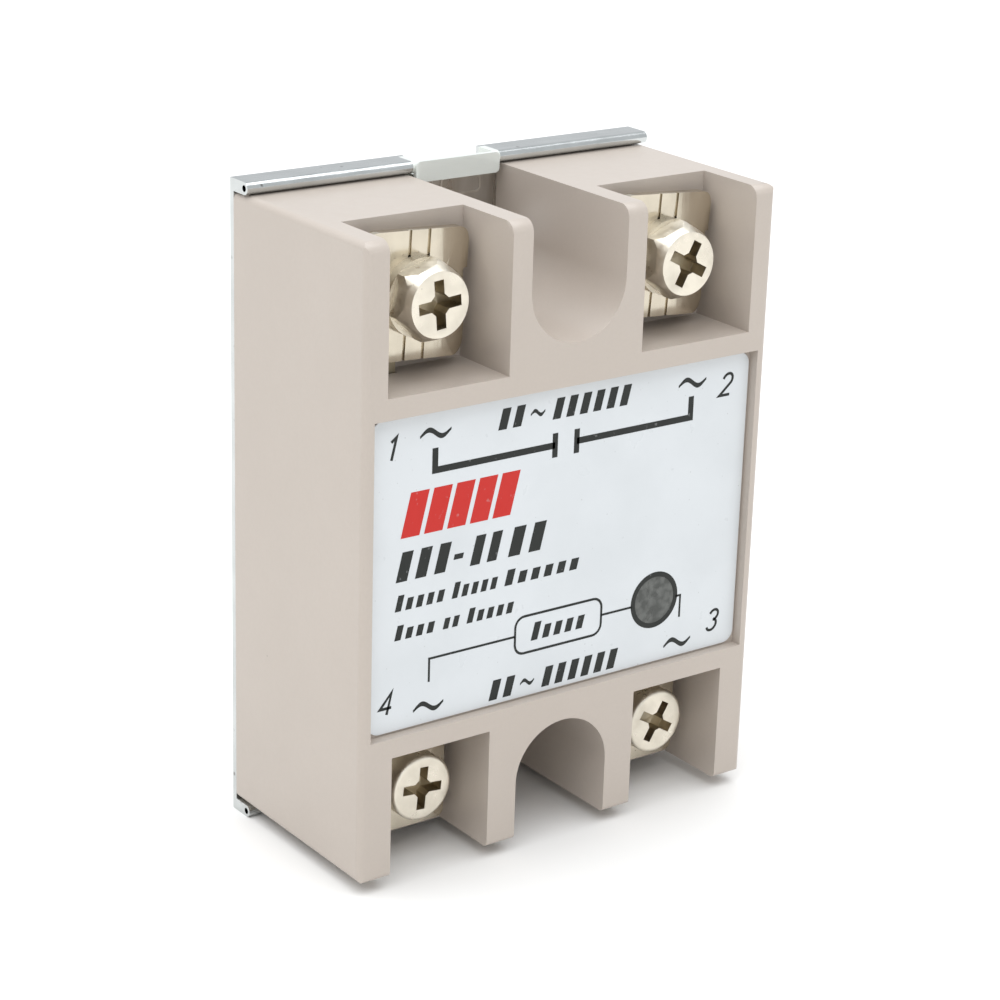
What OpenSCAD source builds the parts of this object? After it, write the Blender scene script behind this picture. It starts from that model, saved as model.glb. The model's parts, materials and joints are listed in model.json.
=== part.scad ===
// Panel-mount solid state relay, terminals 1 and 2 (load) at the top, 3 and 4 (input) at the
// bottom. X runs across the relay, -Y points out of the label face, +Z is up. The base plate's
// rear face lies against the panel or heat sink at +Y. Origin: middle of the footprint, at the
// level of the base plate's lower lips. Millimetres.

/* [Case] */
// Width of the moulded case
case_w = 45; // [43:0.5:60]
// Length of the moulded case, end to end
case_l = 59.3; // [57:0.1:80]
// Depth of the moulded case, label face to base plate
case_d = 21.45; // [20:0.05:30]
// Thickness of the moulded walls
wall = 1.6; // [1.2:0.1:2]
// Radius on the long front edges and the corners of the outline
edge_r = 0.7; // [0.3:0.1:1.2]
// Radius on the front edge at the upper end
end_r = 1.2; // [0.4:0.1:1.6]
// Radius on the front edge at the lower end
foot_r = 0.5; // [0.3:0.1:1.2]

/* [Label] */
// Width of the rim left on each side of the label recess
recess_rim = 1.05; // [0.8:0.05:3]
// Height of the rim between the label recess and the input pockets
recess_low_rim = 1.9; // [1.7:0.05:3]
// Height of the rim between the label recess and the load pockets
recess_top_rim = 1.95; // [1.7:0.05:3]
// Depth of the recess below the label face
recess_d = 1.1; // [0.4:0.1:1.5]
// Thickness of the label
label_t = 0.2; // [0.1:0.05:0.3]
// Gap between the label and the walls of its recess
label_gap = 0.25; // [0.1:0.05:0.6]
// Diameter of the lamp window in the label
window_dia = 5.5; // [4:0.1:7]
// Distance of the lamp from the relay's centre line
lamp_x = 11.1; // [9:0.1:12]
// Height of the lamp above the lower terminal pockets
lamp_rise = 8.5; // [7:0.1:10]

/* [Mounting] */
// Width of the screw notches in the case ends
notch_w = 10.5; // [8:0.1:11]
// Distance from the upper end of the case to the centre of its notch's round end
notch_top_reach = 6.5; // [5.5:0.1:8]
// Distance from the lower end of the case to the centre of its notch's round end
notch_low_reach = 5.7; // [5.5:0.1:8]
// How much nearer the ends of the case the mounting holes are than the notches' centres
hole_shift = 0.2; // [0:0.1:1]
// Diameter of the mounting holes
hole_dia = 4.5; // [3.5:0.1:5.5]

/* [Base plate] */
// Thickness of the plated sheet
sheet_t = 0.6; // [0.4:0.1:1]
// Height by which the folded lips stand beyond each end of the case
lip_h = 1.25; // [1:0.05:2]
// Reach of the folded lips, measured from the rear face
lip_reach = 3; // [2:0.1:4]
// Gap between a lip and the end of the case
lip_gap = 0.08; // [0.02:0.02:0.3]
// Width of the upturned tongue inside each notch
tongue_w = 9.4; // [6:0.1:9.6]
// Thickness of the aluminium heat spreader inside the case
spreader_t = 1.4; // [1:0.1:3]

/* [Load terminals] */
// Thickness of the case wall beside a load pocket
load_side_wall = 2.35; // [2:0.05:2.6]
// Width of a load terminal pocket
load_pocket_w = 12.75; // [11.5:0.05:13.5]
// Height of a load terminal pocket, from the end of the case to its floor
load_pocket_h = 13.8; // [13:0.1:16]
// Distance from the end of the case to the load screws
load_screw_in = 6.8; // [6.6:0.1:7.5]
// Width across the flats of the hexagon head
load_head_af = 6.4; // [5.8:0.1:7.5]
// Thread diameter of the load screws
load_thread = 4; // [3:0.1:4.8]

/* [Input terminals] */
// Thickness of the case wall beside an input pocket
input_side_wall = 3.35; // [3:0.05:4]
// Width of an input terminal pocket
input_pocket_w = 10.75; // [10:0.05:12]
// Height of an input terminal pocket, from the end of the case to its ceiling
input_pocket_h = 11.8; // [11:0.1:13]
// Distance from the end of the case to the input screws
input_screw_in = 6.3; // [5.8:0.1:6.6]
// Diameter of the round head
input_head_dia = 6.4; // [5.5:0.1:7]
// Thread diameter of the input screws
input_thread = 3.5; // [2.5:0.1:4]

/* [Clearances] */
// Depth of all four terminal pockets below the label face
pocket_d = 7.6; // [6.4:0.1:9.1]
// Radial clearance of a screw in its terminal thread
thread_gap = 0.05; // [0.02:0.01:0.1]
// Radial clearance of a screw in its wire clamp and spring washer
clamp_gap = 0.2; // [0.1:0.05:0.3]
// Clearance round the parts that fit inside the case
inner_gap = 0.2; // [0.1:0.05:0.4]
// Clearance round a wire in the circuit board
lead_gap = 0.15; // [0.05:0.05:0.3]
// Gap between a load clamp and the sides of its pocket
load_clamp_gap = 0.875; // [0.7:0.025:2]
// Gap between an input clamp and the sides of its pocket
input_clamp_gap = 0.975; // [0.5:0.025:2]

/* [Hidden] */
$fn = 64;
eps = 0.01;

// Overall frame: the label face is at depth 0, heights count from the lower end of the case.
total_d = case_d + sheet_t;
front_y = -total_d / 2;
base_z = lip_h;

// Depths of the layers behind the label face
spreader_d = case_d - spreader_t;
pad_t = 0.8;
pad_d = spreader_d - pad_t;
board_t = 1.6;
triac_t = 4.4;
triac_clearance = 1.25;
board_d = pad_d - triac_t - triac_clearance - board_t;
front_wall = 1.8;
cavity_d = recess_d + front_wall;
cavity_x = case_w / 2 - wall;
lamp_ledge = 0.6;
window_gap = 0.05;
label_corner_r = 1.2;

// Folded ends of the base plate: the tongue's thickness, how far inside the case's end it steps
// forward, how far it sits ahead of the lips, how far the lips run behind it, and the share of
// a lip's thickness that its hem leaves open
tongue_t = sheet_t - 0.1;
tongue_set_in = 0.7;
tongue_lead = 0.2;
tongue_corner_r = 0.45;
lip_overlap = 0.5;
hem_share = 0.52;

// Heights of the pockets, the middle room between them, the label recess and the lamp
load_floor_h = case_l - load_pocket_h;
room_low_h = input_pocket_h + wall;
room_top_h = load_floor_h - wall;
recess_low_h = input_pocket_h + recess_low_rim;
recess_top_h = load_floor_h - recess_top_rim;
recess_mid_h = (recess_low_h + recess_top_h) / 2;
recess_w = case_w - 2 * recess_rim;
lamp_h = input_pocket_h + lamp_rise;

// One entry for each terminal, 1 to 4: load left, load right, input right, input left.
// The turns are in degrees, anticlockwise seen from the front.
is_load = [true, true, false, false];
load_x = case_w / 2 - load_side_wall - load_pocket_w / 2;
input_x = case_w / 2 - input_side_wall - input_pocket_w / 2;
screw_x = [-load_x, load_x, input_x, -input_x];
cross_turn = [5, -28, -31, -5];
head_turn = [-13, -8, 0, 0];
clamp_turn = [-3, -4, 0, 0];

// Stack of one load terminal and of one input terminal, back to front
load_plate_t = 1.25;
load_clamp_t = 1;
load_washer_t = 1;
load_head_t = 2.65;
load_face_share = 0.93;
load_chamfer_d = 1.6;
input_plate_t = 1;
input_clamp_t = 0.8;
input_washer_t = 0.8;
input_head_t = 2.1;
stack_gap = 0.05;

// Width of the spring washers' rings, of the rim of a terminal plate beside its collar, and how
// far a terminal plate ends inside its clamp
load_ring_w = 1.6;
input_ring_w = 1.15;
plate_rim = 0.45;
plate_set_in = 0.6;

// Gaps between a clamp and the floor or ceiling of its pocket
load_clamp_floor_gap = 1.2;
input_clamp_floor_gap = 0.4;

// Cross recesses: span, width of an arm and depth
load_cross = [4.4, 1, 1.85];
input_cross = [4.2, 0.9, 1.5];

function pocket_w(i) = is_load[i] ? load_pocket_w : input_pocket_w;
function pocket_h(i) = is_load[i] ? load_pocket_h : input_pocket_h;
function screw_in(i) = is_load[i] ? load_screw_in : input_screw_in;
function screw_h(i) = is_load[i] ? case_l - load_screw_in : input_screw_in;
function plate_t(i) = is_load[i] ? load_plate_t : input_plate_t;
function clamp_t(i) = is_load[i] ? load_clamp_t : input_clamp_t;
function washer_t(i) = is_load[i] ? load_washer_t : input_washer_t;
function head_t(i) = is_load[i] ? load_head_t : input_head_t;
function thread_r(i) = (is_load[i] ? load_thread : input_thread) / 2;
function plate_d(i) = pocket_d - plate_t(i);
function clamp_d(i) = plate_d(i) - stack_gap - clamp_t(i);
function washer_d(i) = clamp_d(i) - washer_t(i);
function head_d(i) = washer_d(i) - head_t(i);
function bore_r(i) = thread_r(i) + thread_gap;
function collar_r(i) = bore_r(i) + collar_wall;
function ring_w(i) = is_load[i] ? load_ring_w : input_ring_w;
function side_gap(i) = is_load[i] ? load_clamp_gap : input_clamp_gap;
function floor_gap(i) = is_load[i] ? load_clamp_floor_gap : input_clamp_floor_gap;
function clamp_w(i) = pocket_w(i) - 2 * side_gap(i);
function clamp_l(i) = 2 * (pocket_h(i) - screw_in(i) - floor_gap(i));

collar_t = 3;
collar_wall = 1.3;
screw_past_collar = 1.6;
shank_in_head = 0.4;
leg_w = [1.8, 1.8, 1.6, 1.6];
leg_shift = [-2.3, -2.3, 0, 0];
leg_reach = 1;
leg_below_board = 0.8;

// Components on the circuit board: [x, height] of each centre
snubber_cap_at = [0, room_top_h - 5.4];
varistor_at = [-12.6, room_top_h - 8.5];
snubber_res_at = [11, room_top_h - 8.3];
gate_res_at = [4.5, room_top_h - 12.6];
opto_at = [-0.5, room_low_h + 11.2];
bridge_at = [-13.8, room_low_h + 10.4];
input_res_at = [-1.5, room_low_h + 3.6];
filter_cap_at = [15.6, room_low_h + 13.6];
triac_at = [-7, room_low_h + 14];

snubber_cap_size = [13, 8, 5];
opto_size = [8.6, 3.4, 6.4];
bridge_size = [8.4, 3.2, 6.4];
varistor_dia = 8.6;
varistor_t = 3.8;
filter_cap_dia = 5;
filter_cap_l = 7;
lamp_dia = 3;
lamp_flange_dia = 3.8;
lamp_body_l = 5.3;
lamp_standoff = 0.5;
lead_r = 0.3;
lead_past_board = 1;
chip_standoff = 0.4;
lead_gauge = 0.5;
chip_pitch = 2.54;
chip_span = 7.6;
snubber_cap_pitch = 10;
varistor_pitch = 5;
filter_cap_pitch = 2;
lamp_pitch = 1.8;

// Triac: half the width of its body, how far that reaches below and above its middle, the tab,
// how far the tab reaches, the tab's hole and where its leads bend towards the board
triac_half_w = 5;
triac_reach = 4.6;
triac_tab_t = 1.3;
triac_tab_reach = 10.8;
triac_tab_overlap = 0.6;
triac_hole_up = 8;
triac_hole_r = 1.8;
triac_lead_down = 7.4;
triac_lead_in = 2.6;
triac_lead_pitch = 2.54;

// How far the insulator runs past the triac's body and tab, and the resin's room round them
insulator_rim = 1.5;
insulator_past_tab = 1.2;
resin_room = 2;
resin_past_leads = 1.2;
resin_past_tab = 1.6;

// Each axial part: [centre, body diameter, body length, distance between its leads]
input_res = [input_res_at, 4, 11, 15];
snubber_res = [snubber_res_at, 3.2, 9, 12];
gate_res = [gate_res_at, 2.3, 6, 9];

// ---------- helpers ----------

// Moves children to x, a depth behind the label face and a height above the case's end
module at(x, d, h) {
    translate([x, front_y + d, base_z + h]) children();
}

// Box between two x values, two depths and two heights
module slab(x0, x1, d0, d1, h0, h1) {
    at(x0, d0, h0) cube([x1 - x0, d1 - d0, h1 - h0]);
}

// Round bar along the depth
module rod(x, h, d0, d1, r) {
    at(x, d0, h) rotate([-90, 0, 0]) cylinder(h = d1 - d0, r = r);
}

// Round bar along X
module crossbar(x0, x1, d, h, r) {
    at(x0, d, h) rotate([0, 90, 0]) cylinder(h = x1 - x0, r = r);
}

// Rectangle with true round corners, centred
module round_rect(w, h, r) {
    square([w - 2 * r, h], center = true);
    square([w, h - 2 * r], center = true);
    for (sx = [-1, 1], sz = [-1, 1])
        translate([sx * (w / 2 - r), sz * (h / 2 - r)]) circle(r);
}

// Outline in the X-Z plane made t thick, its front at depth d
module sheet(x, d, h, t) {
    at(x, d + t, h) rotate([90, 0, 0]) linear_extrude(t) children();
}

// Turns children drawn at the lower end of the case over to the upper end
module upper_end() {
    translate([0, 0, 2 * base_z + case_l]) mirror([0, 0, 1]) children();
}

// Puts children drawn at the lower end at terminal i's own end of the case
module own_end(i) {
    if (is_load[i]) upper_end() children();
    else children();
}

// Both mounting holes, as bars to cut with
module mounting_holes(d0, d1) {
    rod(0, notch_low_reach - hole_shift, d0, d1, hole_dia / 2);
    upper_end() rod(0, notch_top_reach - hole_shift, d0, d1, hole_dia / 2);
}

// ---------- case ----------

// Outer block with rounded front edges, square at the rear
module case_block() {
    intersection() {
        sheet(0, 0, case_l / 2, case_d) round_rect(case_w, case_l, edge_r);
        translate([0, front_y + case_d, base_z]) linear_extrude(case_l) intersection() {
            translate([0, -case_d / 2 + end_r]) round_rect(case_w, case_d + 2 * end_r, edge_r);
            translate([-case_w / 2, -case_d]) square([case_w, case_d]);
        }
        at(-case_w / 2, 0, 0) rotate([90, 0, 90]) linear_extrude(case_w) intersection() {
            translate([case_d / 2 + end_r, case_l / 2 - end_r])
                round_rect(case_d + 2 * end_r, case_l + 2 * end_r, end_r);
            translate([case_d / 2 + foot_r, case_l / 2 + foot_r])
                round_rect(case_d + 2 * foot_r, case_l + 2 * foot_r, foot_r);
            square([case_d, case_l]);
        }
    }
}

// Slot in the lower end, with a round inner end that lets the mounting screw's head through
module notch(reach) {
    rod(0, reach, -1, case_d + 1, notch_w / 2);
    slab(-notch_w / 2, notch_w / 2, -1, case_d + 1, -1, reach);
}

// Open terminal pocket in the lower end, the slot for its leg and the bore for its collar
module pocket(i) {
    x = screw_x[i];
    w = pocket_w(i) / 2;
    leg_x = x + leg_shift[i];
    leg = leg_w[i] / 2 + inner_gap / 2;
    slab(x - w, x + w, -1, pocket_d, -1, pocket_h(i));
    slab(leg_x - leg, leg_x + leg, plate_d(i) - inner_gap, pocket_d,
         pocket_h(i) - 1, pocket_h(i) + wall + 1);
    rod(x, screw_in(i), pocket_d - 1, pocket_d + wall + 1, collar_r(i) + inner_gap / 2);
}

module housing() {
    side_x = notch_w / 2 + wall;
    behind_d = pocket_d + wall;
    color([0.82, 0.78, 0.75]) difference() {
        case_block();
        notch(notch_low_reach);
        upper_end() notch(notch_top_reach);
        for (i = [0 : 3]) own_end(i) pocket(i);
        // label recess and the lamp's hole
        sheet(0, -1, recess_mid_h, recess_d + 1)
            square([recess_w, recess_top_h - recess_low_h], center = true);
        rod(lamp_x, lamp_h, 0, cavity_d + 1, window_dia / 2 - lamp_ledge);
        // middle room, the rooms behind the pockets and the seat of the heat spreader
        slab(-cavity_x, cavity_x, cavity_d, spreader_d + 1, room_low_h, room_top_h);
        for (s = [-1, 1]) {
            x0 = min(s * side_x, s * cavity_x);
            x1 = max(s * side_x, s * cavity_x);
            slab(x0, x1, behind_d, spreader_d + 1, wall, room_low_h + 1);
            slab(x0, x1, behind_d, spreader_d + 1, room_top_h - 1, case_l - wall);
        }
        slab(-cavity_x, cavity_x, spreader_d, case_d + 1, wall / 2, case_l - wall / 2);
    }
}

module label() {
    w = recess_w - 2 * label_gap;
    h = recess_top_h - recess_low_h - 2 * label_gap;
    color([0.9, 0.91, 0.92]) difference() {
        sheet(0, recess_d - label_t, recess_mid_h, label_t) round_rect(w, h, label_corner_r);
        rod(lamp_x, lamp_h, recess_d - 1, recess_d + 1, window_dia / 2);
    }
}

module lamp_window() {
    color([0.3, 0.32, 0.33]) rod(lamp_x, lamp_h, recess_d - label_t, recess_d, window_dia / 2 - window_gap);
}

// ---------- metal base ----------

// Pair of hemmed lips at the lower end and the tongue between them
module folded_end() {
    lip_t = lip_h - lip_gap;
    roll_r = lip_t / 2;
    roll_d = total_d - lip_reach + roll_r;
    roll_h = -lip_gap - roll_r;
    lip_x = tongue_w / 2 - lip_overlap;
    for (s = [-1, 1]) {
        x0 = min(s * lip_x, s * case_w / 2);
        x1 = max(s * lip_x, s * case_w / 2);
        difference() {
            union() {
                slab(x0, x1, roll_d, total_d, -lip_h, -lip_gap);
                crossbar(x0, x1, roll_d, roll_h, roll_r);
                slab(x0, x1, case_d, total_d, roll_h, tongue_set_in + 1);
            }
            crossbar(x0 - 1, x1 + 1, roll_d, roll_h, roll_r * hem_share);
        }
    }
    // tongue: a step forward just inside the case's end, then a turned-up front
    tongue_d = total_d - lip_reach - tongue_lead;
    tongue_l = tongue_set_in + lip_h;
    step_x = tongue_w / 2 - lip_overlap;
    sheet(0, tongue_d, tongue_set_in - tongue_l / 2, tongue_t)
        round_rect(tongue_w, tongue_l, tongue_corner_r);
    slab(-step_x, step_x, tongue_d, total_d, tongue_set_in - tongue_t, tongue_set_in);
}

module base_plate() {
    low_h = tongue_set_in - tongue_t;
    color([0.8, 0.82, 0.81]) difference() {
        union() {
            slab(-case_w / 2, case_w / 2, case_d, total_d, low_h, case_l - low_h);
            folded_end();
            upper_end() folded_end();
        }
        mounting_holes(case_d - 1, total_d + 1);
    }
}

module heat_spreader() {
    w = 2 * (cavity_x - inner_gap);
    h = case_l - wall - 2 * inner_gap;
    color([0.72, 0.73, 0.75]) difference() {
        sheet(0, spreader_d, case_l / 2, spreader_t) round_rect(w, h, 1);
        mounting_holes(spreader_d - 1, case_d + 1);
    }
}

// ---------- circuit board ----------

// Wires along the depth at the given [x, height] points, from depth d0 through the board
module leads(points, d0) {
    for (p = points) rod(p[0], p[1], d0, board_d + board_t + lead_past_board, lead_r);
}

function pair(c, pitch) = [[c[0] - pitch / 2, c[1]], [c[0] + pitch / 2, c[1]]];

// Two rows of chip legs, n in each row
function rows(c, n, pitch, span) = [
    for (k = [0 : n - 1], s = [-1, 1]) [c[0] + (k - (n - 1) / 2) * pitch, c[1] + s * span / 2]
];

triac_leads = [
    for (k = [-1 : 1]) [triac_at[0] + k * triac_lead_pitch, triac_at[1] - triac_lead_down]
];

function all_leads() = concat(
    pair(snubber_cap_at, snubber_cap_pitch), pair(varistor_at, varistor_pitch),
    pair(filter_cap_at, filter_cap_pitch), pair([lamp_x, lamp_h], lamp_pitch),
    pair(input_res[0], input_res[3]), pair(snubber_res[0], snubber_res[3]),
    pair(gate_res[0], gate_res[3]),
    rows(opto_at, 3, chip_pitch, chip_span), rows(bridge_at, 2, chip_pitch * 2, chip_span),
    triac_leads
);

module circuit_board() {
    w = 2 * (cavity_x - inner_gap);
    h = room_top_h - room_low_h - 2 * inner_gap;
    color([0.15, 0.42, 0.24]) difference() {
        sheet(0, board_d, (room_low_h + room_top_h) / 2, board_t) round_rect(w, h, 1);
        for (p = all_leads()) rod(p[0], p[1], board_d - 1, board_d + board_t + 1, lead_r + lead_gap);
        for (i = [0 : 3]) terminal_leg(i, inner_gap / 2);
    }
}

// Round body lying along X with its two bent leads
module axial_part(part) {
    c = part[0];
    r = part[1] / 2;
    half_l = part[2] / 2;
    half_pitch = part[3] / 2;
    d = board_d - r - chip_standoff;
    crossbar(c[0] - half_l, c[0] + half_l, d, c[1], r);
    crossbar(c[0] - half_pitch - lead_r, c[0] + half_pitch + lead_r, d, c[1], lead_r);
    leads(pair(c, 2 * half_pitch), d);
}

// Moulded chip with two rows of n legs
module chip(c, size, n, pitch) {
    d1 = board_d - chip_standoff;
    mid_d = d1 - size[1] / 2;
    slab(c[0] - size[0] / 2, c[0] + size[0] / 2, d1 - size[1], d1, c[1] - size[2] / 2, c[1] + size[2] / 2);
    for (p = rows(c, n, pitch, chip_span)) {
        low = min(p[1] - lead_r, c[1]);
        high = max(p[1] + lead_r, c[1]);
        slab(p[0] - lead_r, p[0] + lead_r, mid_d - lead_r, mid_d + lead_r, low, high);
    }
    leads(rows(c, n, pitch, chip_span), mid_d);
}

module optocoupler() {
    color([0.93, 0.93, 0.9]) chip(opto_at, opto_size, 3, chip_pitch);
}

module bridge_rectifier() {
    color([0.12, 0.12, 0.13]) chip(bridge_at, bridge_size, 2, chip_pitch * 2);
}

module input_resistor() {
    color([0.55, 0.68, 0.75]) axial_part(input_res);
}

module snubber_resistor() {
    color([0.76, 0.62, 0.42]) axial_part(snubber_res);
}

module gate_resistor() {
    color([0.78, 0.66, 0.48]) axial_part(gate_res);
}

module snubber_capacitor() {
    c = snubber_cap_at;
    s = snubber_cap_size;
    color([0.85, 0.7, 0.2]) {
        slab(c[0] - s[0] / 2, c[0] + s[0] / 2, board_d - s[1] - eps, board_d - eps,
             c[1] - s[2] / 2, c[1] + s[2] / 2);
        leads(pair(c, snubber_cap_pitch), board_d - 1);
    }
}

module varistor() {
    c = varistor_at;
    d1 = board_d - chip_standoff;
    color([0.15, 0.3, 0.6]) {
        rod(c[0], c[1], d1 - varistor_t, d1, varistor_dia / 2);
        leads(pair(c, varistor_pitch), d1 - 1);
    }
}

module filter_capacitor() {
    c = filter_cap_at;
    color([0.16, 0.16, 0.2]) {
        rod(c[0], c[1], board_d - filter_cap_l, board_d - eps, filter_cap_dia / 2);
        leads(pair(c, filter_cap_pitch), board_d - 1);
    }
}

// Lamp on its leads, its dome just behind the front wall
module status_lamp() {
    dome_d = cavity_d + lamp_standoff + lamp_dia / 2;
    body_end_d = cavity_d + lamp_standoff + lamp_body_l;
    color([0.8, 0.12, 0.1]) {
        at(lamp_x, dome_d, lamp_h) sphere(lamp_dia / 2);
        rod(lamp_x, lamp_h, dome_d, body_end_d, lamp_dia / 2);
        rod(lamp_x, lamp_h, body_end_d - 1, body_end_d, lamp_flange_dia / 2);
        leads(pair([lamp_x, lamp_h], lamp_pitch), body_end_d - 0.5);
    }
}

// Switching element: moulded body and metal tab flat on the insulator, three bent leads
module triac() {
    c = triac_at;
    w = triac_half_w;
    bend_h = triac_leads[0][1];
    lead_d = pad_d - triac_lead_in;
    color([0.2, 0.2, 0.21]) {
        slab(c[0] - w, c[0] + w, pad_d - triac_t, pad_d, c[1] - triac_reach, c[1] + triac_reach);
        difference() {
            slab(c[0] - w, c[0] + w, pad_d - triac_tab_t, pad_d,
                 c[1] + triac_reach - triac_tab_overlap, c[1] + triac_tab_reach);
            rod(c[0], c[1] + triac_hole_up, pad_d - triac_tab_t - 1, pad_d + 1, triac_hole_r);
        }
        for (p = triac_leads) {
            slab(p[0] - lead_gauge / 2, p[0] + lead_gauge / 2, lead_d - lead_gauge / 2,
                 lead_d + lead_gauge / 2, bend_h - lead_gauge / 2, c[1]);
            rod(p[0], p[1], board_d - lead_past_board, lead_d + lead_gauge / 2, lead_gauge / 2);
        }
    }
}

module insulator_pad() {
    c = triac_at;
    w = triac_half_w + insulator_rim;
    color([0.95, 0.95, 0.93])
        slab(c[0] - w, c[0] + w, pad_d, spreader_d,
             c[1] - triac_reach - insulator_rim, c[1] + triac_tab_reach + insulator_past_tab);
}

// Resin between the board and the heat spreader, moulded round the triac and its insulator
module potting_compound() {
    c = triac_at;
    x = cavity_x - inner_gap;
    w = triac_half_w + resin_room;
    start_d = board_d + board_t + lead_past_board + inner_gap;
    color([0.25, 0.23, 0.22]) difference() {
        slab(-x, x, start_d, spreader_d, room_low_h + inner_gap, room_top_h - inner_gap);
        slab(c[0] - w, c[0] + w, start_d - 1, spreader_d + 1,
             c[1] - triac_lead_down - resin_past_leads, c[1] + triac_tab_reach + resin_past_tab);
        for (i = [0 : 3]) terminal_leg(i, inner_gap);
    }
}

// ---------- terminals ----------

// Leg from a terminal plate to the circuit board, grown by g on every side
module terminal_leg(i, g) {
    x = screw_x[i] + leg_shift[i];
    w = leg_w[i] / 2 + g;
    bend_h = pocket_h(i) + wall + leg_reach + plate_t(i);
    own_end(i) {
        slab(x - w, x + w, plate_d(i) - g, pocket_d - eps + g, screw_in(i) - g, bend_h + g);
        slab(x - w, x + w, plate_d(i) - g, board_d + board_t + leg_below_board + g,
             bend_h - plate_t(i) - g, bend_h + g);
    }
}

// Terminal plate on the pocket's rear wall with its threaded collar and soldering leg
module terminal_plate(i) {
    x = screw_x[i];
    h = screw_h(i);
    w = 2 * (collar_r(i) + plate_rim);
    l = clamp_l(i) - 2 * plate_set_in;
    color([0.82, 0.78, 0.68]) difference() {
        union() {
            sheet(x, plate_d(i), h, plate_t(i) - eps) round_rect(w, l, 0.5);
            rod(x, h, plate_d(i), pocket_d + collar_t, collar_r(i));
            terminal_leg(i, 0);
        }
        rod(x, h, plate_d(i) - 1, pocket_d + collar_t + 1, bore_r(i));
    }
}

// Outline of a load clamp: round corners and a shallow waist on each side
module load_clamp_outline(w, l) {
    waist_l = 4;
    waist_w = 0.55;
    difference() {
        round_rect(w, l, 1.4);
        for (s = [-1, 1]) translate([s * w / 2, 0]) square([2 * waist_w, waist_l], center = true);
    }
}

// Load clamp: waisted plate with two grooves, its side edges bent back a little
module load_clamp(i) {
    t = load_clamp_t;
    w = clamp_w(i);
    l = clamp_l(i);
    edge_drop = 0.4;
    bend_x = w / 2 - 1.1;
    groove_x = 1;
    groove_w = 0.3;
    groove_t = 0.25;
    profile = [
        [-w / 2, edge_drop], [-bend_x, 0], [bend_x, 0], [w / 2, edge_drop],
        [w / 2, edge_drop + t], [bend_x, t], [-bend_x, t], [-w / 2, edge_drop + t]
    ];
    difference() {
        intersection() {
            translate([0, 0, -l / 2]) linear_extrude(l) polygon(profile);
            translate([0, t + edge_drop + 1, 0]) rotate([90, 0, 0]) linear_extrude(t + edge_drop + 2)
                load_clamp_outline(w, l);
        }
        for (s = [-1, 1])
            translate([s * groove_x - groove_w / 2, -1, -l]) cube([groove_w, 1 + groove_t, 2 * l]);
    }
}

// Input clamp: flat plate
module input_clamp(i) {
    translate([0, input_clamp_t, 0]) rotate([90, 0, 0]) linear_extrude(input_clamp_t)
        round_rect(clamp_w(i), clamp_l(i), 0.8);
}

module wire_clamp(i) {
    color([0.87, 0.85, 0.78]) at(screw_x[i], clamp_d(i), screw_h(i))
    rotate([0, -clamp_turn[i], 0]) difference() {
        if (is_load[i]) load_clamp(i);
        else input_clamp(i);
        rotate([-90, 0, 0]) translate([0, 0, -1])
            cylinder(h = clamp_t(i) + 2, r = thread_r(i) + clamp_gap);
    }
}

// Spring washer: a ring with a slanted split
module spring_washer(i) {
    r1 = thread_r(i) + clamp_gap;
    r2 = thread_r(i) + ring_w(i);
    split = 0.5;
    color([0.8, 0.79, 0.74]) difference() {
        rod(screw_x[i], screw_h(i), washer_d(i), clamp_d(i), r2);
        rod(screw_x[i], screw_h(i), washer_d(i) - 1, clamp_d(i) + 1, r1);
        at(screw_x[i], washer_d(i) + washer_t(i) / 2, screw_h(i)) rotate([0, 60, 25])
            translate([0, -split / 2, -split / 2]) cube([r2 + 1, 4 * split, split]);
    }
}

// Cross recess: two crossed slots with a wider middle, sunk t deep, open towards -Y
module cross_recess(span, w, t) {
    for (a = [0, 90]) rotate([0, a, 0]) translate([-span / 2, -1, -w / 2]) cube([span, t + 1, w]);
    rotate([-90, 0, 0]) translate([0, 0, -1]) cylinder(h = t + 1, r = w);
    rotate([-90, 45, 0]) translate([-w, -w, -1]) cube([2 * w, 2 * w, t + 1]);
}

// Screw head with its face at depth 0: hexagon with a turned face on the load screws,
// round with a rounded rim on the input screws
module screw_head(i) {
    t = head_t(i);
    if (is_load[i]) {
        face_r = load_head_af / 2 * load_face_share;
        corner_r = load_head_af / 2 / cos(30);
        intersection() {
            rotate([0, -head_turn[i], 0]) rotate([-90, 30, 0]) cylinder(h = t, r = corner_r, $fn = 6);
            rotate([-90, 0, 0]) rotate_extrude() polygon([
                [0, 0], [face_r, 0], [corner_r, load_chamfer_d], [corner_r, t], [0, t]
            ]);
        }
    } else {
        r = input_head_dia / 2;
        rim = 0.35;
        rotate([-90, 0, 0]) rotate_extrude() {
            square([r - rim, t]);
            translate([0, rim]) square([r, t - rim]);
            translate([r - rim, rim]) intersection() {
                circle(rim);
                translate([0, -rim]) square(rim);
            }
        }
    }
}

module terminal_screw(i) {
    tip_d = pocket_d + collar_t + screw_past_collar;
    cross = is_load[i] ? load_cross : input_cross;
    color([0.88, 0.86, 0.79]) {
        at(screw_x[i], head_d(i), screw_h(i)) difference() {
            screw_head(i);
            rotate([0, -cross_turn[i], 0]) cross_recess(cross[0], cross[1], cross[2]);
        }
        rod(screw_x[i], screw_h(i), washer_d(i) - shank_in_head, tip_d, thread_r(i));
    }
}

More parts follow.
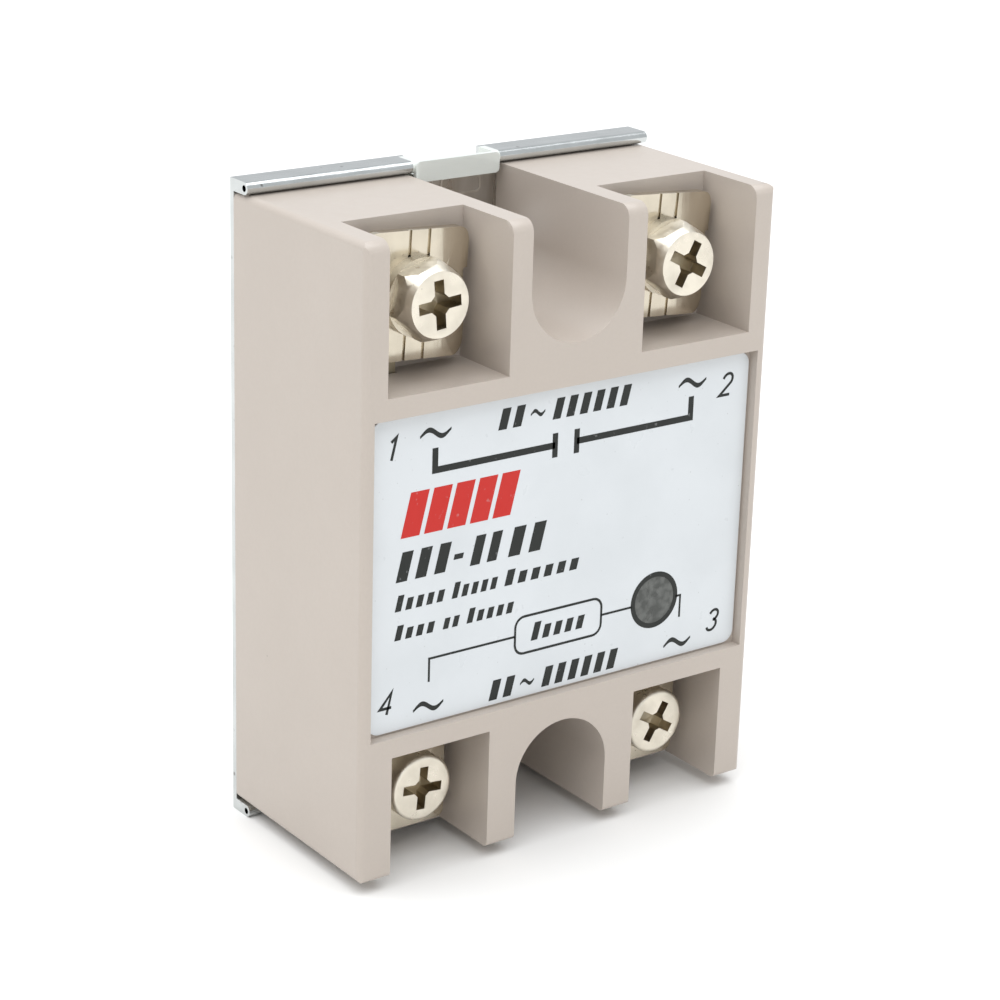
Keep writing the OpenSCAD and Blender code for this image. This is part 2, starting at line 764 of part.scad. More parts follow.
housing();
label();
lamp_window();
base_plate();
heat_spreader();
insulator_pad();
potting_compound();
circuit_board();
triac();
optocoupler();
bridge_rectifier();
input_resistor();
filter_capacitor();
status_lamp();
snubber_capacitor();
snubber_resistor();
gate_resistor();
varistor();
terminal_plate(0);  // terminal_plate_1
terminal_plate(1);  // terminal_plate_2
terminal_plate(2);  // terminal_plate_3
terminal_plate(3);  // terminal_plate_4
wire_clamp(0);  // wire_clamp_1
wire_clamp(1);  // wire_clamp_2
wire_clamp(2);  // wire_clamp_3
wire_clamp(3);  // wire_clamp_4
spring_washer(0);  // spring_washer_1
spring_washer(1);  // spring_washer_2
spring_washer(2);  // spring_washer_3
spring_washer(3);  // spring_washer_4
terminal_screw(0);  // terminal_screw_1
terminal_screw(1);  // terminal_screw_2
terminal_screw(2);  // terminal_screw_3
terminal_screw(3);  // terminal_screw_4
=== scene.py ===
import json
from math import cos, hypot, pi, radians, sin, tan

import bmesh
import bpy
from mathutils import Matrix, Vector


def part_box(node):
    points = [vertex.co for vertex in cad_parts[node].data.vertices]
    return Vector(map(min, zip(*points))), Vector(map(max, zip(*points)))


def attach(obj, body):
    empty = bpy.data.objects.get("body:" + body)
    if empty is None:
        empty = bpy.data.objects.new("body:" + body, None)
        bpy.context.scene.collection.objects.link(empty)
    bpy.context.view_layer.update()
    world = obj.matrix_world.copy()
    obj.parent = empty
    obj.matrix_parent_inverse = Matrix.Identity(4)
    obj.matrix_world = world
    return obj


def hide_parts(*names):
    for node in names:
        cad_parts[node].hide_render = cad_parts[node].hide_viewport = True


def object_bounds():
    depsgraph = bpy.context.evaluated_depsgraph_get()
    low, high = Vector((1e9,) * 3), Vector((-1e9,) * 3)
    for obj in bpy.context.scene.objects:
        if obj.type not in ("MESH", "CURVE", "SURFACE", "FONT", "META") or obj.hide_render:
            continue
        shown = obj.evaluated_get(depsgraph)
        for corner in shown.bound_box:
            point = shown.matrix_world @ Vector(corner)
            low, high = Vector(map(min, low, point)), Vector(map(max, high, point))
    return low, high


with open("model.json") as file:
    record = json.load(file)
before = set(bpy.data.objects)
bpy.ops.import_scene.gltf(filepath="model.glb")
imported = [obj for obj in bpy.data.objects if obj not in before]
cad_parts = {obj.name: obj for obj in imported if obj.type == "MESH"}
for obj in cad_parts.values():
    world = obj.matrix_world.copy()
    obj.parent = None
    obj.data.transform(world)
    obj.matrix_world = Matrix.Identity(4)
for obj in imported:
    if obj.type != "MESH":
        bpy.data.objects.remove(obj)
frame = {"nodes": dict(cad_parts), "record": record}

# Row frame, in metres: X runs across the relay, -Y points out of the label face, +Z is up.
CAD_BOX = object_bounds()
MM = 0.001
BODY = "relay_body"
CASE_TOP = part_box("housing")[1].z

scene = bpy.context.scene
nodes = frame["nodes"]
record = frame["record"]
SLOT_OF = {part["node"]: part["material_slot"] for part in record["subparts"]}
BODY_OF = {node: body for body, members in record["behaviour"]["bodies"].items() for node in members}

LOAD_TERMINALS = (1, 2)
INPUT_TERMINALS = (3, 4)


# ---------- node materials ----------

class Shader:
    """A Principled material and the few node patterns that this scene uses, in object coordinates."""

    def __init__(self, name, color, roughness, metallic=0.0, **sockets):
        self.material = bpy.data.materials.new(name)
        self.material.use_nodes = True
        self.tree = self.material.node_tree
        self.bsdf = self.tree.nodes["Principled BSDF"]
        self.bsdf.inputs["Base Color"].default_value = (*color, 1)
        self.bsdf.inputs["Roughness"].default_value = roughness
        self.bsdf.inputs["Metallic"].default_value = metallic
        for socket, value in sockets.items():
            self.bsdf.inputs[socket.replace("_", " ")].default_value = value
        self.coords = self.tree.nodes.new("ShaderNodeTexCoord")
        self.color = None

    def noise(self, per_metre, detail=3.0, stretch=(1, 1, 1)):
        """Noise with per_metre features in a metre, drawn out along the axes where stretch is small."""
        mapping = self.tree.nodes.new("ShaderNodeMapping")
        mapping.inputs["Scale"].default_value = stretch
        texture = self.tree.nodes.new("ShaderNodeTexNoise")
        texture.inputs["Scale"].default_value = per_metre
        texture.inputs["Detail"].default_value = detail
        self.tree.links.new(self.coords.outputs["Object"], mapping.inputs["Vector"])
        self.tree.links.new(mapping.outputs["Vector"], texture.inputs["Vector"])
        return texture.outputs["Fac"]

    def dots(self, per_metre, size):
        """1 inside small scattered dots, size being their share of the cell, and 0 elsewhere."""
        cells = self.tree.nodes.new("ShaderNodeTexVoronoi")
        cells.inputs["Scale"].default_value = per_metre
        self.tree.links.new(self.coords.outputs["Object"], cells.inputs["Vector"])
        return self.ramp(cells.outputs["Distance"], size * 0.6, size, 1, 0)

    def ramp(self, factor, low, high, from_value, to_value):
        """Straight ramp of factor between low and high."""
        node = self.tree.nodes.new("ShaderNodeMapRange")
        node.inputs["From Min"].default_value = low
        node.inputs["From Max"].default_value = high
        node.inputs["To Min"].default_value = from_value
        node.inputs["To Max"].default_value = to_value
        self.tree.links.new(factor, node.inputs["Value"])
        return node.outputs["Result"]

    def along(self, axis, low, high, from_value, to_value):
        """Ramp along one axis of the object, between two places in metres."""
        split = self.tree.nodes.new("ShaderNodeSeparateXYZ")
        self.tree.links.new(self.coords.outputs["Object"], split.inputs["Vector"])
        return self.ramp(split.outputs[axis], low, high, from_value, to_value)

    def times(self, a, b):
        """Product of two patterns."""
        node = self.tree.nodes.new("ShaderNodeMath")
        node.operation = "MULTIPLY"
        self.tree.links.new(a, node.inputs[0])
        self.tree.links.new(b, node.inputs[1])
        return node.outputs["Value"]

    def tint(self, factor, color):
        """Mixes another colour in where factor is high."""
        mix = self.tree.nodes.new("ShaderNodeMix")
        mix.data_type = "RGBA"
        self.tree.links.new(factor, mix.inputs["Factor"])
        if self.color is None:
            mix.inputs["A"].default_value = self.bsdf.inputs["Base Color"].default_value
        else:
            self.tree.links.new(self.color, mix.inputs["A"])
        mix.inputs["B"].default_value = (*color, 1)
        self.color = mix.outputs["Result"]
        self.tree.links.new(self.color, self.bsdf.inputs["Base Color"])

    def roughness(self, factor, from_value, to_value):
        """Roughness that follows a noise between two values."""
        spread = self.ramp(factor, 0.3, 0.7, from_value, to_value)
        self.tree.links.new(spread, self.bsdf.inputs["Roughness"])

    def bump(self, factor, depth):
        """Relief of that depth in metres."""
        node = self.tree.nodes.new("ShaderNodeBump")
        node.inputs["Strength"].default_value = 1.0
        node.inputs["Distance"].default_value = depth
        self.tree.links.new(factor, node.inputs["Height"])
        self.tree.links.new(node.outputs["Normal"], self.bsdf.inputs["Normal"])


def case_plastic():
    """Warm grey moulding with a faint mottle and a few dark specks."""
    s = Shader("case_plastic", (0.456, 0.399, 0.348), 0.3, Specular_IOR_Level=0.5)
    s.tint(s.ramp(s.noise(90, 4), 0.35, 0.7, 0, 1), (0.472, 0.414, 0.362))
    specks = s.times(s.dots(330, 0.035), s.ramp(s.noise(160), 0.6, 0.68, 0, 0.8))
    s.tint(specks, (0.2, 0.17, 0.15))
    s.tint(s.ramp(s.noise(3000, 2), 0.35, 0.7, 0, 0.25), (0.43, 0.375, 0.325))
    s.roughness(s.noise(900, 1), 0.28, 0.32)
    return s.material


# Where a light matte face is painted on the plated sheet as a painted reflection, which takes in the tongue
# in the upper notch: half the width, how far down from the case's top, how far ahead of the sheet's back it
# starts, and how softly it fades
PAINTED_REFLECTION_HALF_W = 4.9 * MM
PAINTED_REFLECTION_DROP = 3.0 * MM
PAINTED_REFLECTION_AHEAD = 0.45 * MM
PAINTED_REFLECTION_FADE = 0.02 * MM


def plated_sheet():
    """Bright zinc, with a light matte face painted on the tongue that stands in the upper notch, as a
    painted reflection of the bright surroundings.
    """
    s = Shader("plated_sheet", (0.6, 0.62, 0.615), 0.2, 1.0)
    s.tint(s.ramp(s.noise(260, 5), 0.35, 0.65, 0, 1), (0.53, 0.55, 0.545))
    s.tint(s.times(s.dots(900, 0.22), s.ramp(s.noise(350), 0.55, 0.62, 0, 0.8)), (0.22, 0.21, 0.2))
    s.roughness(s.noise(420, 4), 0.1, 0.24)
    s.bump(s.noise(1500, 3, (0.12, 1, 1)), 0.03 * MM)
    within = s.times(s.along("X", -PAINTED_REFLECTION_HALF_W - PAINTED_REFLECTION_FADE, -PAINTED_REFLECTION_HALF_W, 0, 1),
                     s.along("X", PAINTED_REFLECTION_HALF_W, PAINTED_REFLECTION_HALF_W + PAINTED_REFLECTION_FADE, 1, 0))
    foot_z = CASE_TOP - PAINTED_REFLECTION_DROP
    above = s.along("Z", foot_z, foot_z + 5 * PAINTED_REFLECTION_FADE, 0, 1)
    back_y = CAD_BOX[1].y - PAINTED_REFLECTION_AHEAD
    ahead = s.along("Y", back_y - 2.5 * PAINTED_REFLECTION_FADE, back_y, 1, 0)
    # painted reflection: where this mask is high the tongue is made light and hardly metallic, in place of
    # the bright surroundings its face mirrors
    dull = s.times(s.times(within, above), ahead)
    s.tint(dull, (0.7, 0.725, 0.685))
    s.tree.links.new(s.ramp(dull, 0, 1, 1, 0.15), s.bsdf.inputs["Metallic"])
    return s.material


def aluminium_sheet():
    """Grey metal with a grain drawn out along Z."""
    s = Shader("aluminium_sheet", (0.5, 0.48, 0.45), 0.3, 1.0)
    s.tint(s.ramp(s.noise(500, 4, (1, 1, 0.15)), 0.4, 0.62, 0, 1), (0.4, 0.37, 0.33))
    s.roughness(s.noise(700, 3, (1, 1, 0.2)), 0.2, 0.42)
    s.bump(s.noise(2600, 2, (1, 1, 0.05)), 0.006 * MM)
    return s.material


def nickel(name, color, grain, dull):
    """Warm nickel plating; grain draws the fine scratches out along an axis, dull is the roughness."""
    s = Shader(name, color, dull, 1.0)
    s.tint(s.ramp(s.noise(320, 5), 0.4, 0.65, 0, 1), tuple(0.87 * c for c in color))
    s.tint(s.times(s.dots(1500, 0.12), s.ramp(s.noise(500), 0.6, 0.66, 0, 0.7)), (0.16, 0.13, 0.09))
    s.roughness(s.noise(900, 4, grain), 0.7 * dull, 1.5 * dull)
    s.bump(s.noise(2400, 3, grain), 0.006 * MM)
    return s.material


def terminal_brass():
    """Tarnished brass of the conducting plates."""
    s = Shader("terminal_brass", (0.42, 0.37, 0.27), 0.35, 1.0)
    s.tint(s.ramp(s.noise(300, 4), 0.4, 0.65, 0, 1), (0.3, 0.25, 0.17))
    s.roughness(s.noise(700, 4), 0.28, 0.5)
    return s.material


def label_film():
    """Cool white film, a little uneven, with faint dust."""
    s = Shader("label_film", (0.615, 0.637, 0.65), 0.34)
    s.tint(s.ramp(s.noise(120, 6), 0.4, 0.75, 0, 1), (0.575, 0.597, 0.609))
    s.tint(s.times(s.dots(1300, 0.1), s.ramp(s.noise(300), 0.5, 0.58, 0, 0.75)), (0.42, 0.43, 0.43))
    s.roughness(s.noise(300, 4), 0.26, 0.42)
    s.bump(s.noise(700, 3), 0.008 * MM)
    return s.material


def ink(name, color):
    """Printed ink with small worn spots."""
    s = Shader(name, color, 0.45, Specular_IOR_Level=0.3)
    s.tint(s.ramp(s.noise(1800, 4), 0.66, 0.74, 0, 0.6), tuple(0.6 * c + 0.18 for c in color))
    s.roughness(s.noise(400, 3), 0.3, 0.5)
    return s.material


def window_film():
    """Smoked film over the lamp, with a cloudy texture."""
    s = Shader("window_film", (0.045, 0.048, 0.043), 0.34)
    s.tint(s.ramp(s.noise(1100, 5), 0.42, 0.62, 0, 1), (0.1, 0.104, 0.096))
    s.roughness(s.noise(500, 3), 0.22, 0.4)
    return s.material


def plain(name, color, roughness, metallic=0.0, change=0.8):
    """Simple mottled material; change is how dark its darker spots are."""
    s = Shader(name, color, roughness, metallic)
    s.tint(s.ramp(s.noise(400, 4), 0.4, 0.65, 0, 1), tuple(change * c for c in color))
    s.roughness(s.noise(600, 3), 0.8 * roughness, min(1.0, 1.25 * roughness))
    return s.material


MATERIALS = {
    "case_plastic": case_plastic(),
    "label_film": label_film(),
    "window_film": window_film(),
    "plated_sheet": plated_sheet(),
    "aluminium_sheet": aluminium_sheet(),
    "alumina": plain("alumina", (0.86, 0.86, 0.84), 0.6),
    "resin": plain("resin", (0.04, 0.036, 0.032), 0.3),
    "board_laminate": plain("board_laminate", (0.05, 0.22, 0.1), 0.4),
    "black_epoxy": plain("black_epoxy", (0.025, 0.025, 0.027), 0.55),
    "white_epoxy": plain("white_epoxy", (0.8, 0.8, 0.76), 0.5),
    "resistor_blue": plain("resistor_blue", (0.22, 0.4, 0.52), 0.4),
    "resistor_tan": plain("resistor_tan", (0.5, 0.35, 0.18), 0.4),
    "capacitor_sleeve": plain("capacitor_sleeve", (0.03, 0.03, 0.06), 0.3),
    "capacitor_yellow": plain("capacitor_yellow", (0.72, 0.5, 0.07), 0.35),
    "varistor_blue": plain("varistor_blue", (0.05, 0.13, 0.4), 0.35),
    "lamp_red": plain("lamp_red", (0.55, 0.03, 0.02), 0.15),
    "terminal_brass": terminal_brass(),
    "nickel_steel": nickel("nickel_steel", (0.76, 0.705, 0.6), (1, 1, 1), 0.34),
}
CLAMP_NICKEL = nickel("clamp_nickel", (0.62, 0.56, 0.455), (1, 1, 0.06), 0.15)
# painted shade: darker brass-toned metal for the inside of the screws' cross recesses
RECESS_PAINTED_SHADE = plain("recess_painted_shade", (0.5, 0.43, 0.31), 0.36, 1.0, 0.6)
STAMPED_METAL = plain("stamped_metal", (0.62, 0.59, 0.54), 0.35, 1.0)
INK_DARK = ink("ink_dark", (0.012, 0.014, 0.012))
INK_RED = ink("ink_red", (0.5, 0.018, 0.012))


def paint(obj, material):
    obj.data.materials.clear()
    obj.data.materials.append(material)


for node_name, node_object in nodes.items():
    paint(node_object, MATERIALS[SLOT_OF[node_name]])


# ---------- meshes and outlines ----------

def mesh_object(name, mesh, material):
    """Puts a finished bmesh into the scene as an object of that material."""
    data = bpy.data.meshes.new(name)
    mesh.to_mesh(data)
    mesh.free()
    piece = bpy.data.objects.new(name, data)
    scene.collection.objects.link(piece)
    paint(piece, material)
    return piece


def arc(u, v, radius, start, end, steps=14, squash=1.0):
    """Points on an arc about u, v, from start to end in degrees; squash narrows it."""
    angles = [radians(start + (end - start) * k / steps) for k in range(steps + 1)]
    return [(u + radius * squash * cos(a), v + radius * sin(a)) for a in angles]


def rounded_box(u0, u1, v0, v1, radius):
    """Outline of a rectangle with round corners, anticlockwise."""
    corners = [(u1 - radius, v0 + radius, -90), (u1 - radius, v1 - radius, 0),
               (u0 + radius, v1 - radius, 90), (u0 + radius, v0 + radius, 180)]
    points = []
    for u, v, start in corners:
        points += arc(u, v, radius, start, start + 90, steps=6)
    return points


# ---------- softened metal and plastic edges ----------

CASE_EDGE = 0.22 * MM
BASE_EDGE = 0.07 * MM
CLAMP_EDGE = 0.12 * MM
SCREW_EDGE = 0.07 * MM


def apply(piece, modifier):
    with bpy.context.temp_override(object=piece, active_object=piece):
        bpy.ops.object.modifier_apply(modifier=modifier.name)


def soften(node, name, radius, material):
    """A copy of the node with its sharp edges rounded, which stands for it."""
    mesh = bmesh.new()
    mesh.from_mesh(nodes[node].data)
    bmesh.ops.remove_doubles(mesh, verts=mesh.verts, dist=0.002 * MM)
    bmesh.ops.dissolve_limit(mesh, angle_limit=radians(0.6), verts=mesh.verts, edges=mesh.edges)
    bmesh.ops.triangulate(mesh, faces=mesh.faces)
    piece = mesh_object(name, mesh, material)
    bpy.context.view_layer.objects.active = piece
    bevel = piece.modifiers.new("rounding", "BEVEL")
    bevel.width = radius
    bevel.segments = 3
    bevel.limit_method = "ANGLE"
    bevel.angle_limit = radians(32)
    bevel.miter_outer = "MITER_ARC"
    apply(piece, bevel)
    for face in piece.data.polygons:
        face.use_smooth = True
    piece.data.set_sharp_from_angle(angle=radians(35))
    weights = piece.modifiers.new("flat faces", "WEIGHTED_NORMAL")
    weights.keep_sharp = True
    apply(piece, weights)
    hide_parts(node)
    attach(piece, BODY_OF[node])
    return piece


def paint_recess_shade(piece, node, depth):
    """Paints the faces inside a screw's cross recess a darker brass-toned metal: painted shade of the deep
    recess, over the brass tone the recess shows.
    """
    reach = 2.35 * MM
    rim = 0.05 * MM
    low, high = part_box(node)
    centre_x, centre_z = (low.x + high.x) / 2, (low.z + high.z) / 2
    piece.data.materials.append(RECESS_PAINTED_SHADE)
    for face in piece.data.polygons:
        x, y, z = face.center
        if hypot(x - centre_x, z - centre_z) < reach and rim < y - low.y < depth:
            face.material_index = 1


def terminal(number, recess_depth):
    """The clamp and the screw of one terminal."""
    clamp_node, screw_node = f"wire_clamp_{number}", f"terminal_screw_{number}"
    soften(clamp_node, f"clamp_plate_{number}", CLAMP_EDGE, CLAMP_NICKEL)
    screw = soften(screw_node, f"screw_{number}_body", SCREW_EDGE, MATERIALS["nickel_steel"])
    paint_recess_shade(screw, screw_node, recess_depth)


soften("housing", "housing_shell", CASE_EDGE, MATERIALS["case_plastic"])
soften("base_plate", "plated_base", BASE_EDGE, MATERIALS["plated_sheet"])
for load_number in LOAD_TERMINALS:
    terminal(load_number, 1.95 * MM)
for input_number in INPUT_TERMINALS:
    terminal(input_number, 1.6 * MM)


# ---------- outline stamped on the heat spreader ----------

def stamped_outline():
    """Raised outline on the spreader's face in the upper notch."""
    face_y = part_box("heat_spreader")[0].y
    centre_x, centre_z = 1.1 * MM, CASE_TOP - 1.72 * MM
    half_w, half_h, corner_r = 2.1 * MM, 0.72 * MM, 0.35 * MM
    rib, rise = 0.2 * MM, 0.06 * MM
    mesh = bmesh.new()

    def ring(reach, y):
        outline = rounded_box(centre_x - half_w - reach, centre_x + half_w + reach,
                              centre_z - half_h - reach, centre_z + half_h + reach, corner_r + reach)
        return [mesh.verts.new((x, y, z)) for x, z in outline]

    rings = [ring(0, face_y), ring(0, face_y - rise), ring(rib, face_y - rise), ring(rib, face_y)]
    count = len(rings[0])
    for i in range(len(rings)):
        a, b = rings[i], rings[(i + 1) % len(rings)]
        for k in range(count):
            after = (k + 1) % count
            mesh.faces.new((a[k], a[after], b[after], b[k]))
    bmesh.ops.recalc_face_normals(mesh, faces=mesh.faces)
    piece = mesh_object("spreader_stamp", mesh, STAMPED_METAL)
    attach(piece, BODY)


stamped_outline()


# ---------- print on the label, in millimetres from its centre: u across, v up ----------

label_low, label_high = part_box("label")
LABEL_X = (label_low.x + label_high.x) / 2
LABEL_Z = (label_low.z + label_high.z) / 2
PRINT_T = 0.015 * MM
PRINT_BACK = label_low.y + 0.002 * MM

SLANT = tan(radians(14))
FIGURE_SCALE = 0.82
FIGURE_H = 2.5
FIGURES = {
    "1": [[(-0.42, FIGURE_H - 0.5), (0.12, FIGURE_H), (0.12, 0)]],
    "2": [arc(0, FIGURE_H - 0.72, 0.72, 168, -28, squash=0.95) + [(-0.72, 0), (0.78, 0)]],
    "3": [arc(0, FIGURE_H - 0.64, 0.64, 160, -85), arc(0, 0.68, 0.68, 85, -160)],
    "4": [[(0.36, 0), (0.36, FIGURE_H), (-0.72, 0.75), (0.78, 0.75)]],
}
FIGURE_PLACES = {"1": (-19.2, 10.95), "2": (18.35, 10.8), "3": (18.3, -13.0), "4": (-19.5, -12.9)}
SIGN_PLACES = [(-14.5, 12.7), (14.4, 12.65), (14.2, -13.3), (-14.7, -13.1)]
FIGURE_LINE = 0.27
HEAVY_LINE = 0.62
PLATE_LINE = 0.6
WIRE_LINE = 0.22
BOX_LINE = 0.24
RING_LINE = 0.5


class Print:
    """Flat shapes of one ink."""

    def __init__(self, name, material):
        self.name = name
        self.material = material
        self.mesh = bmesh.new()

    def corners(self, outline, y):
        return [self.mesh.verts.new((LABEL_X + u * MM, y, LABEL_Z + v * MM)) for u, v in outline]

    def shape(self, outline):
        """A filled outline, given as its corners in order."""
        front = self.corners(outline, PRINT_BACK - PRINT_T)
        back = self.corners(outline, PRINT_BACK)
        self.mesh.faces.new(front)
        self.mesh.faces.new(back[::-1])
        count = len(outline)
        for k in range(count):
            after = (k + 1) % count
            self.mesh.faces.new((front[after], front[k], back[k], back[after]))

    def line(self, points, width, closed=False):
        """A line of that width through the points, with mitred corners."""
        points = [Vector(p) for p in points]
        count = len(points)
        left, right = [], []
        for k, point in enumerate(points):
            before = points[(k - 1) % count] if closed or k > 0 else None
            after = points[(k + 1) % count] if closed or k < count - 1 else None
            into = (point - before).normalized() if before else (after - point).normalized()
            out = (after - point).normalized() if after else into
            side = Vector((-(into + out).y, (into + out).x)).normalized()
            reach = width / 2 / max(0.3, side.dot(Vector((-into.y, into.x))))
            left.append(point + side * reach)
            right.append(point - side * reach)
        last = count if closed else count - 1
        for k in range(last):
            after = (k + 1) % count
            self.shape([right[k], right[after], left[after], left[k]])

    def finish(self):
        bmesh.ops.recalc_face_normals(self.mesh, faces=self.mesh.faces)
        piece = mesh_object(self.name, self.mesh, self.material)
        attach(piece, BODY)


def slanted(points, u, v):
    """Points of an italic figure, moved to u, v."""
    return [(u + FIGURE_SCALE * (x + SLANT * y), v + FIGURE_SCALE * y) for x, y in points]


def tilde(art, u, v, half_width, height, width):
    """A little over one wave of a sine, thick in the middle, as the sign for alternating current."""
    steps = 24
    top, bottom = [], []
    for k in range(steps + 1):
        t = k / steps
        x = u + half_width * (2 * t - 1)
        y = v + height * sin(2 * pi * (1.16 * t - 0.08))
        thick = width * (0.45 + 0.55 * sin(pi * t))
        top.append((x, y + thick / 2))
        bottom.append((x, y - thick / 2))
    for k in range(steps):
        art.shape([bottom[k], bottom[k + 1], top[k + 1], top[k]])


def block(art, u0, u1, v, height):
    """A slanted block from u0 to u1 along its foot."""
    lean = SLANT * height
    art.shape([(u0, v), (u1, v), (u1 + lean, v + height), (u0 + lean, v + height)])


def word(art, u0, u1, v, height, count, tall=1, fill=0.58):
    """A row of plain blocks that stands for a word: the first few at full height, the rest lower."""
    low_height = 0.74 * height
    pitch = (u1 - u0) / (count - 1 + fill)
    for k in range(count):
        start = u0 + k * pitch
        block(art, start, start + fill * pitch, v, height if k < tall else low_height)


def terminal_marks(art):
    """Terminal numbers and the signs beside them."""
    for figure, (u, v) in FIGURE_PLACES.items():
        for stroke in FIGURES[figure]:
            art.line(slanted(stroke, u, v), FIGURE_LINE)
    for u, v in SIGN_PLACES:
        tilde(art, u, v, half_width=1.65, height=0.36, width=0.52)


def contact_symbol(art):
    """Open contact between terminals 1 and 2."""
    v = 9.27
    left_end, left_plate, right_plate, right_end = -14.5, -1.4, 1.05, 14.35
    rise, half_plate = 2.05, 1.15
    art.line([(left_end, v + rise), (left_end, v), (left_plate, v)], HEAVY_LINE)
    for plate in (left_plate, right_plate):
        art.line([(plate, v + half_plate), (plate, v - half_plate)], PLATE_LINE)
    art.line([(right_plate, v), (right_end, v), (right_end, v + rise)], HEAVY_LINE)


def input_circuit(art):
    """Input circuit between terminals 4 and 3, through the box and the lamp."""
    v = -8.5
    left_end, box_left, box_right, right_end = -14.7, -5.2, 4.75, 14.3
    lamp_left, lamp_right = 8.4, 13.7
    drop = 2.25
    art.line([(left_end, v - drop), (left_end, v), (box_left, v)], WIRE_LINE)
    box_low, box_high, box_corner_r = v - 1.85, v + 1.8, 1.0
    art.line(rounded_box(box_left, box_right, box_low, box_high, box_corner_r), BOX_LINE, closed=True)
    art.line([(box_right, v), (lamp_left, v)], WIRE_LINE)
    art.line([(lamp_right, v), (right_end, v), (right_end, v - drop)], WIRE_LINE)
    word(art, -3.4, 2.5, v - 0.8, 1.75, 5)


def range_row(art, u, v):
    """Blocks on both sides of a small sign, where the label gives a range."""
    height = 1.95
    word(art, u, u + 2.5, v, height, 2, tall=2)
    tilde(art, u + 4.35, v + 0.95, half_width=0.8, height=0.22, width=0.4)
    word(art, u + 6.0, u + 14.5, v, height, 6, tall=6)


def text_rows(dark, red):
    """Four rows of blocks in place of the lettering, each word with its start, end and number of blocks."""
    first_v, second_v, third_v, fourth_v = 3.55, -0.5, -3.25, -6.0
    first_h, second_h, third_h, fourth_h = 4.1, 2.75, 1.5, 1.4
    word(red, -18.0, -6.2, first_v, first_h, 5, tall=5, fill=0.8)
    dash_rise, dash_h = 0.95, 0.5
    block(dark, -12.3, -11.3, second_v + dash_rise, dash_h)
    for u0, u1, count in ((-18.45, -13.2, 3), (-10.5, -7.6, 2), (-6.3, -2.7, 2)):
        word(dark, u0, u1, second_v, second_h, count, tall=count)
    for u0, u1, count in ((-18.5, -13.4, 5), (-12.4, -7.6, 5), (-6.6, 1.6, 6)):
        word(dark, u0, u1, third_v, third_h, count)
    for u0, u1, count, tall in ((-18.5, -14.4, 4, 1), (-13.3, -11.7, 2, 0), (-10.7, -5.7, 5, 1)):
        word(dark, u0, u1, fourth_v, fourth_h, count, tall)


def window_ring(art):
    """Ring round the lamp window."""
    low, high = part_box("lamp_window")
    u = ((low.x + high.x) / 2 - LABEL_X) / MM
    v = ((low.z + high.z) / 2 - LABEL_Z) / MM
    inset = 0.12
    radius = (high.x - low.x) / 2 / MM - inset
    sides = 48
    art.line(arc(u, v, radius, 0, 360 - 360 / sides, steps=sides - 1), RING_LINE, closed=True)


def draw_print():
    dark = Print("label_print_dark", INK_DARK)
    red = Print("label_print_red", INK_RED)
    terminal_marks(dark)
    contact_symbol(dark)
    input_circuit(dark)
    range_row(dark, -7.8, 11.75)
    range_row(dark, -8.0, -14.25)
    text_rows(dark, red)
    window_ring(dark)
    dark.finish()
    red.finish()


draw_print()


# ---------- studio ----------

COOL = (0.975, 1.0, 1.03)
FLOOR_REACH = 3.0
FLOOR_TILES = 12
LAMP_TARGET = (0, 0, 0.03)


def aim(direction):
    """Turns a lamp, which shines along -Z, to that direction."""
    return Vector(direction).to_track_quat("-Z", "Y").to_euler()


def floor_paper():
    s = Shader("floor_paper", (0.79, 0.775, 0.752), 0.9, Specular_IOR_Level=0.1)
    s.tint(s.ramp(s.noise(3, 2), 0.4, 0.6, 0, 1), (0.8, 0.785, 0.762))
    return s.material


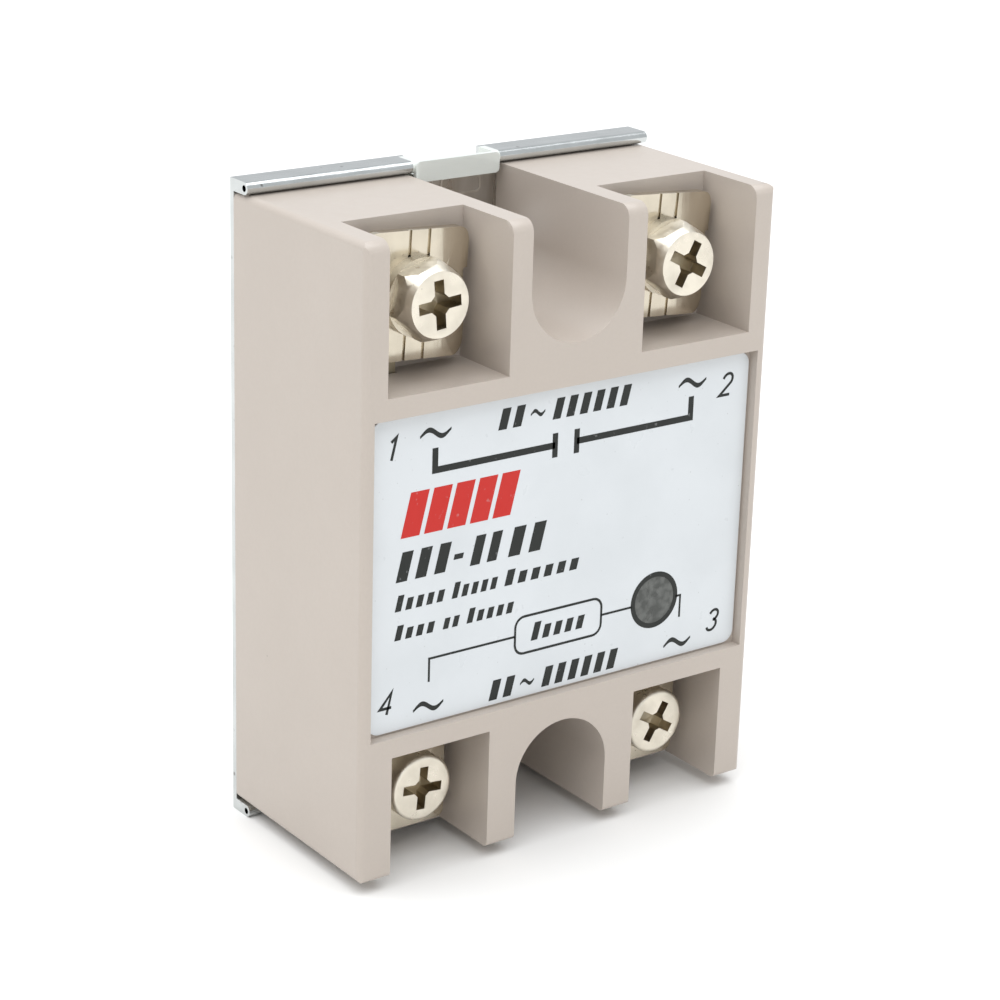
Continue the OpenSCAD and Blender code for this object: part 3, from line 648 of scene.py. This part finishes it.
def paper_floor():
    mesh = bmesh.new()
    stops = [FLOOR_REACH * (2 * k / FLOOR_TILES - 1) for k in range(FLOOR_TILES + 1)]
    points = [[mesh.verts.new((x, y, 0)) for y in stops] for x in stops]
    for i in range(FLOOR_TILES):
        for j in range(FLOOR_TILES):
            mesh.faces.new((points[i][j], points[i + 1][j], points[i + 1][j + 1], points[i][j + 1]))
    floor = mesh_object("floor", mesh, floor_paper())


def key_sun():
    """A broad soft sun, almost overhead."""
    lamp = bpy.data.lights.new("key", "SUN")
    lamp.energy = 2.95
    lamp.angle = radians(85)
    lamp.color = COOL
    holder = bpy.data.objects.new("key", lamp)
    scene.collection.objects.link(holder)
    holder.rotation_euler = aim((0.1, 0.06, -1))


def fill_light(name, place, size):
    """A square soft box that faces the object."""
    lamp = bpy.data.lights.new(name, "AREA")
    lamp.shape = "RECTANGLE"
    lamp.size, lamp.size_y = size, size
    lamp.energy = 0.5
    lamp.color = COOL
    holder = bpy.data.objects.new(name, lamp)
    scene.collection.objects.link(holder)
    holder.location = place
    holder.rotation_euler = aim(Vector(LAMP_TARGET) - Vector(place))


def studio():
    paper_floor()
    key_sun()
    fill_light("fill_left", (-0.8, 0.45, 0.35), 0.7)
    fill_light("fill_front", (-0.2, -1.0, 0.35), 0.6)
    world = bpy.data.worlds.new("studio")
    world.use_nodes = True
    background = world.node_tree.nodes["Background"]
    background.inputs["Color"].default_value = (*COOL, 1)
    background.inputs["Strength"].default_value = 0.78
    scene.world = world
    scene.view_settings.view_transform = "Standard"


# Camera: its place, its heading from +Y, how far it looks down, and its small roll
CAMERA_PLACE = (-0.1420, -0.1920, 0.11625)
CAMERA_HEADING = radians(-36.51)
CAMERA_DOWN = radians(19.74)
CAMERA_ROLL = radians(1.73)


def camera():
    data = bpy.data.cameras.new("camera")
    data.sensor_width = 36
    data.lens = 97.2
    data.clip_start = 0.01
    holder = bpy.data.objects.new("camera", data)
    scene.collection.objects.link(holder)
    turn = Matrix.Rotation(CAMERA_HEADING, 4, "Z")
    lift = Matrix.Rotation(pi / 2 - CAMERA_DOWN, 4, "X")
    roll = Matrix.Rotation(CAMERA_ROLL, 4, "Z")
    holder.matrix_world = Matrix.Translation(CAMERA_PLACE) @ turn @ lift @ roll
    scene.camera = holder


studio()
camera()
